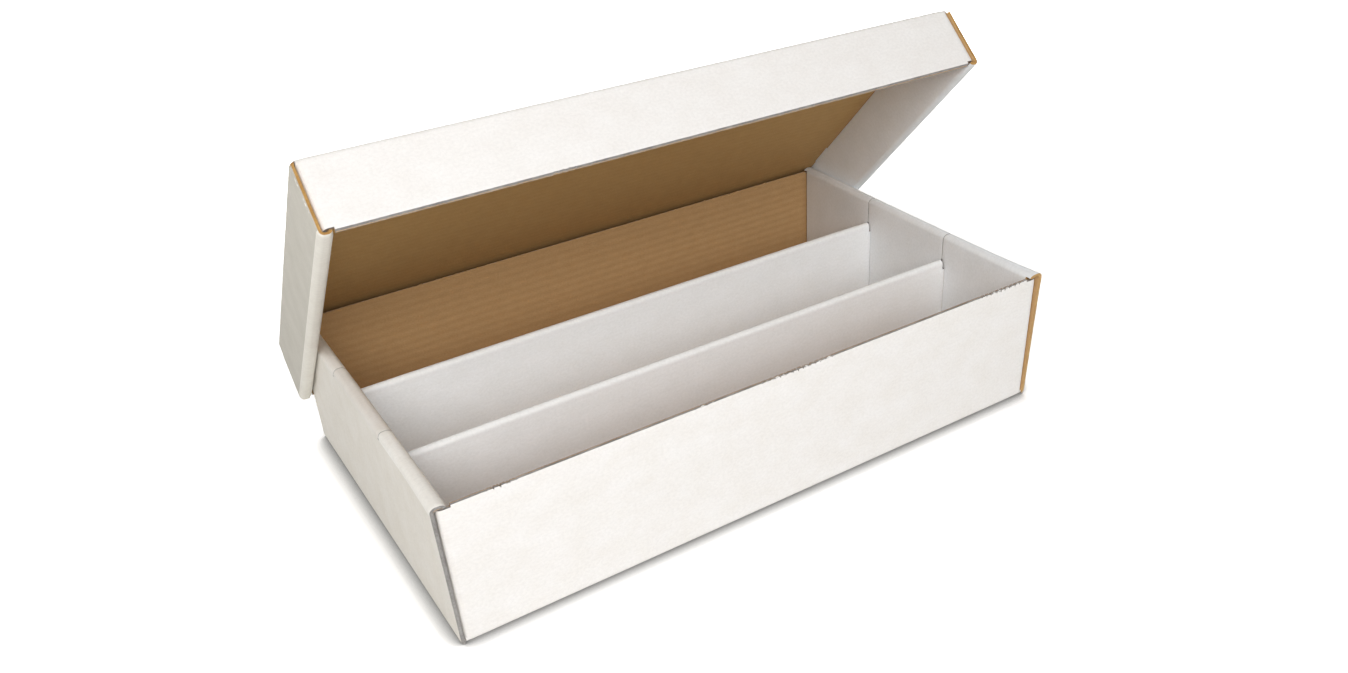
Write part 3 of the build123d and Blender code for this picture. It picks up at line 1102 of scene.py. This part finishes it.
seams = [-tray.width / 2] + tray.dividers + [tray.width / 2]
gaps = [0.0, 0.08, 0.08, 0.0]                 # half of the seam at each end of a flap
for word, across, papers, edge in (
        ("right", 1, [rolled_paper_painted_light, rolled_paper_painted_light, rolled_paper_painted_light], tan_edge),
        ("left", -1, [left_rim_paper_painted_light, rim_paper_painted_shade, rim_paper_painted_shade], grey_edge)):
    for place, name in enumerate(("front", "middle", "back")):
        near, far = seams[place] + gaps[place], seams[place + 1] - gaps[place + 1]
        roll_over(tray, f"base_{word}_flap_{name}", across, near, far, lock_lines(tray)[place],
                  papers[place], edge if name == "front" else grey_edge)
for word, across, paper, crush in (("left", 1, lid_rim_paper, left_lid_crush),
                                   ("right", -1, lid_inner_paper_painted_light, right_lid_crush)):
    roll_over(lid, f"lid_{word}_flap", across, -lid.width / 2, lid.width / 2, lock_lines(lid)[0],
              paper, lid_edge, crush)
print("flaps made:", sum("_flap" in name for name in finished))

# %% [markdown]
# ## The dividers
# A divider is one sheet folded double over its top, so it is white on both sides and shows a
# round white back. Each ply turns aside at both ends into a tab that stands behind the flaps.

# %% Dividers
divider_top, tab_low, tab_high, tab_reach = 88.0, 5.0, 80.0, 30.0
half_thickness = divider_thickness / 2


def divider(node, line):
    passage, tab_face = tray.length / 2 - rim - 0.3, tray.length / 2 - board
    section = creased_line([(line + half_thickness, board), (line + half_thickness, divider_top),
                            (line - half_thickness, divider_top), (line - half_thickness, board)],
                           radius=half_thickness - 0.05, step=flute_step)
    total = section[-1][0]
    tab_marks = [tab_low - board, tab_high - board]
    section = split_at(section, [place for mark in tab_marks for place in (mark, total - mark)])
    turn = creased_line([(2 * tab_reach, 0.0), (0.0, 0.0), (0.0, -tab_reach)], step=12.0)
    curl = [(tab_face - a, b, -out_a, out_b, crease) for _, a, b, out_a, out_b, crease in turn
            if tab_face - a > passage + 0.05]
    right = [(passage + 1.0 + place, *station) for place, station in enumerate(curl)]
    left = [(-place, -x, b, -out_x, out_y, crease) for place, x, b, out_x, out_y, crease in right]
    cols = left[::-1] + unfolded(spaced(-passage, passage, 40.0)) + right

    def keep(row, col):
        return abs(col[0]) <= passage or (tab_low < row[2] < tab_high and row[5] == 0.0)

    def locate(row, col):
        u, x, aside, out_x, out_aside, _ = col
        walked, y, z, out_y, out_z, _ = row
        if abs(u) <= passage:
            return (x, y, z), (0, out_y, out_z), (x, walked)
        side = 1.0 if y > line else -1.0
        spot = (x, line + side * (0.2 - aside), z)
        return spot, (-out_x, side * out_aside, 0.0), (u, walked)

    mesh = panel_surface(node, section, cols, keep, locate)
    press_board(node, mesh, "base", divider_paper_painted_light, kraft_paper, grey_edge)


divider("front_divider", tray.dividers[0])
divider("back_divider", tray.dividers[1])
print("dividers:", finished["front_divider"], "faces each")

# %% [markdown]
# ## Wear
# Opening and closing lifts small flakes of paper: brown and white ones along the front wall's top
# edge, light brown chips on the back wall's edge, and white scuffs beside the cut on the lid's
# left end. Each flake is a thin curled sheet with narrow ends. The places are a short list,
# and Geometry Nodes puts a flake on each, turned and sized at random from a fixed seed. Painting
# them on would be easier, but a flake that stands up catches the light as the real one does.

# %% Flake recipe
def flake_tree():
    """Tree for a modifier: a small curled sheet of paper on every point it is given."""
    sizes = ["Length", "Width", "Paper", "Curl", "Twist"]
    inputs = {"Points": "Geometry", **dict.fromkeys(sizes, "Float"), "Seed": "Int",
              "Finish": "Material"}
    tree, given, result = recipe("paper_flakes", inputs, "Flakes")
    inputs = {"Size X": given["Length"], "Size Y": given["Width"], "Vertices X": 7, "Vertices Y": 4}
    sheet = add_node(tree, "GeometryNodeMeshGrid", inputs)
    position = add_node(tree, "GeometryNodeInputPosition").outputs[0]
    spot = add_node(tree, "ShaderNodeSeparateXYZ", {"Vector": position}).outputs
    share = maths(tree, "DIVIDE", spot["X"], given["Length"])
    square = maths(tree, "MULTIPLY", share, share)
    rise = maths(tree, "MULTIPLY", square, given["Curl"])
    narrow = maths(tree, "MULTIPLY", maths(tree, "MULTIPLY", square, -3.2), spot["Y"])
    move = add_node(tree, "ShaderNodeCombineXYZ", {"Y": narrow, "Z": rise}).outputs[0]
    bent = moved(tree, sheet.outputs["Mesh"], move)
    bent = add_node(tree, "GeometryNodeStoreNamedAttribute",
                    {"Geometry": bent, "Name": "outward", "Value": (0.0, 0.0, 1.0)},
                    data_type="FLOAT_VECTOR", domain="POINT").outputs[0]
    flake = add_node(tree, "GeometryNodeGroup",
                     {"Surface": bent, "Thickness": given["Paper"], "Finish": given["Finish"]},
                     node_tree=paper_layer).outputs[0]

    def chance(low, high):
        limits = {2: low, 3: high, 8: given["Seed"]}
        return add_node(tree, "FunctionNodeRandomValue", limits, data_type="FLOAT").outputs[1]

    copies = add_node(tree, "GeometryNodeInstanceOnPoints",
                      {"Points": given["Points"], "Instance": flake, "Scale": chance(0.55, 1.25),
                       "Rotation": stored(tree, "turn", "FLOAT_VECTOR")}).outputs[0]
    twist = chance(maths(tree, "MULTIPLY", given["Twist"], -1.0), given["Twist"])
    about = add_node(tree, "ShaderNodeCombineXYZ", {"Z": twist}).outputs[0]
    turned = add_node(tree, "GeometryNodeRotateInstances", {"Instances": copies, "Rotation": about})
    put(tree, result, finished_with(tree, realized(tree, turned.outputs[0]), given["Finish"]))
    return tree


paper_flakes = flake_tree()
torn_white = cut_edge("torn_white_paper", (250, 249, 246), (226, 223, 216))
torn_kraft = cut_edge("torn_kraft_paper", (150, 136, 118), (108, 96, 82))
pale_kraft = cut_edge("torn_pale_kraft_paper", (226, 196, 150), (190, 156, 108))
print("flake sizes:", [item.name for item in paper_flakes.interface.items_tree][1:6])


# %% Lay the flakes
def lay_flakes(name, body, spots, finish, length, width, curl, twist, seed):
    """spots lists (point, way up, way along) in millimetres; the flakes ride on a body."""
    mesh = bpy.data.meshes.new(name)
    mesh.from_pydata([Vector(point) * MM for point, _, _ in spots], [], [])
    turns = []
    for _, up, along in spots:
        up, along = Vector(up).normalized(), Vector(along).normalized()
        turns += list(Matrix((along, up.cross(along), up)).transposed().to_euler())
    mesh.attributes.new("turn", "FLOAT_VECTOR", "POINT").data.foreach_set("vector", turns)
    sizes = {"Length": length * MM, "Width": width * MM, "Paper": 0.12 * MM, "Curl": curl * MM * 4,
             "Twist": twist, "Seed": seed, "Finish": finish}
    flakes = run_recipe(name, mesh, paper_flakes, sizes)
    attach(flakes, body)
    return len(flakes.data.polygons)


def edge_spots(clusters, apart, y, top, seed, up):
    """Places along a torn top edge, where its bites are."""
    spots = []
    for middle, spread, _ in clusters:
        for step in range(max(2, int(2 * spread / apart))):
            u = middle - spread + apart * (step + 0.5 + 0.3 * math.sin(5.0 * step + seed))
            along = (1, 0.15 * math.sin(3.0 * step), 0)
            spots.append(((u, y, top - bites(u, clusters)), up, along))
    return spots


tray_face, tray_top = tray.width / 2, tray.height - tray.drop
kraft_spots = edge_spots(front_bites, 7.6, -tray_face + 0.9, tray_top - 0.15, 1.0, (0, -0.5, 1))
white_spots = edge_spots(front_bites, 9.0, -tray_face + 0.80, tray_top - 0.25, 2.0, (0, -1.0, 0.7))
rubbed = [(-90.0, 40.0, 0.0), (95.0, 30.0, 0.0), (200.0, 22.0, 0.0)]
back_spots = edge_spots(back_bites + rubbed, 7.5, tray_face - board + 0.5, tray_top + 0.05, 4.0,
                        (0, -0.4, 1))
scuff_spots = []
_, down_lid = lid.place((0, 0, 0), (0, 0.25, 1.0))
for place in range(11):
    depth = (13.0 + 1.4 * place) if place < 4 else (20.0 + 1.7 * place)
    inset = 2.1 + 0.5 * math.sin(4.0 * place)
    point, up = lid.place((lid.length / 2 - 0.22, -lid.width / 2 + inset, depth), (1, 0, 0))
    scuff_spots.append((point, up, down_lid))
laid = [lay_flakes(name, *how) for name, how in {
    "front_edge_torn_kraft": ("base", kraft_spots, torn_kraft, 2.4, 0.8, 0.16, 0.20, 5),
    "front_edge_torn_white": ("base", white_spots, torn_white, 2.6, 0.9, 0.22, 0.30, 6),
    "back_edge_chips": ("base", back_spots, pale_kraft, 2.8, 0.9, 0.18, 0.30, 7),
    "lid_end_scuffs": ("lid", scuff_spots, torn_white, 2.2, 1.0, 0.05, 0.60, 8)}.items()]
print("flake faces:", laid)

# %% [markdown]
# ## Count the pieces
# The finished pieces are counted with their faces.

# %% Pieces and faces
print("pieces:", len(finished), "faces:", sum(finished.values()))
